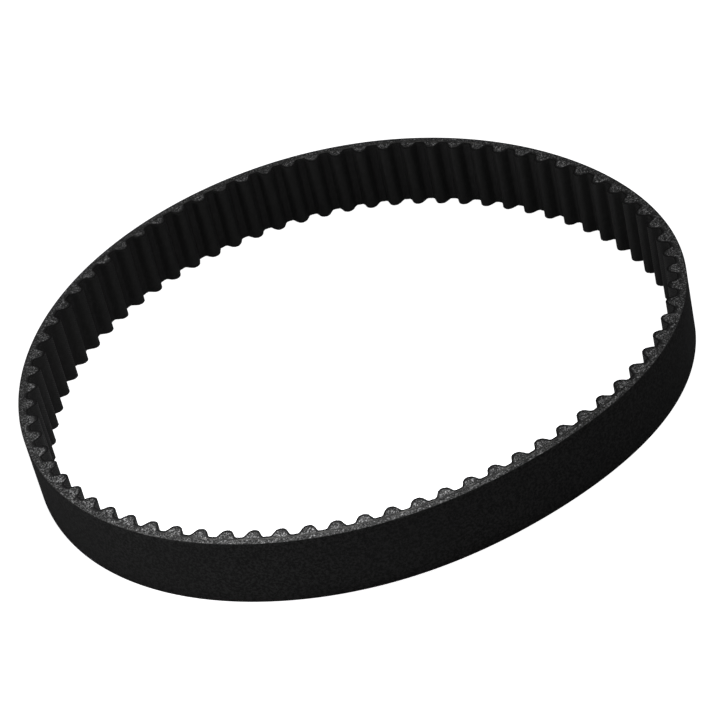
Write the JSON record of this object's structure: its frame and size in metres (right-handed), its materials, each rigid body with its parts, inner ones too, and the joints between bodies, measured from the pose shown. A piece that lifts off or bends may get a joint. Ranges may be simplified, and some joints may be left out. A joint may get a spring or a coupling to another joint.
{
  "type": "timing belt",
  "caption": "Endless synchronous drive belt with curved teeth on its inside and a smooth back, lying relaxed in a slightly uneven loop on one cut edge.",
  "frame": {"origin": "middle of the loop's bounding box, on the surface that the lower cut edge stands on", "axes": "+Z along the belt's width, up; +X along the loop's longer side; +Y across it"},
  "size_m": [0.1276, 0.1164, 0.014],
  "materials": {
    "backing_rubber": "matt black chloroprene, ground back, knife-cut edges",
    "tooth_rubber": "dark grey where it is cut, with pale fibre flecks",
    "tooth_facing": "black woven nylon, slightly ribbed, dull",
    "tension_cord": "twisted glass-fibre cord with a dry adhesive coat"
  },
  "bodies": {
    "root": {"backing_rubber": "backing_rubber", "tension_cord_s_twist": "tension_cord", "tension_cord_z_twist": "tension_cord", "tooth_rubber": "tooth_rubber", "tooth_facing": "tooth_facing"}
  },
  "joints": []
}
